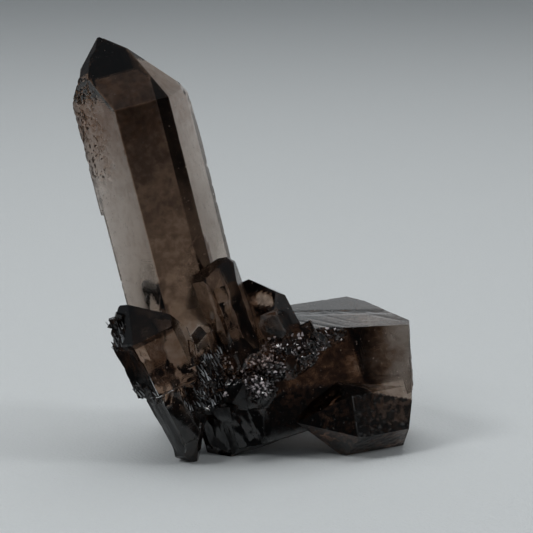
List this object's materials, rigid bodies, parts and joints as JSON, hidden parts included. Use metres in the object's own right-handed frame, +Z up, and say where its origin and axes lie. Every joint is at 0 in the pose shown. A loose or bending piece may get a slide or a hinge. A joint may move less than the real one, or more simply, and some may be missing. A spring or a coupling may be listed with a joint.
{
  "type": "smoky quartz crystal cluster",
  "caption": "Free-standing cluster of smoky quartz: a tall leaning point and smaller points grown out of a thick lying crystal, with a broken dark seam across its front.",
  "frame": {"origin": "middle of the bounding box's base, on the surface the stone rests on", "axes": "+Z up and along the longest extent, +X along the lying crystal to its broken end, -Y to the side with the broken dark seam"},
  "size_m": [0.066, 0.0378, 0.0801],
  "materials": {
    "smoky_quartz": "clear to nearly black smoky quartz, glossy crystal faces with fine growth lines, etched pits and a glittering broken seam"
  },
  "bodies": {
    "root": {"smoky_quartz_cluster": "smoky_quartz"}
  },
  "joints": []
}
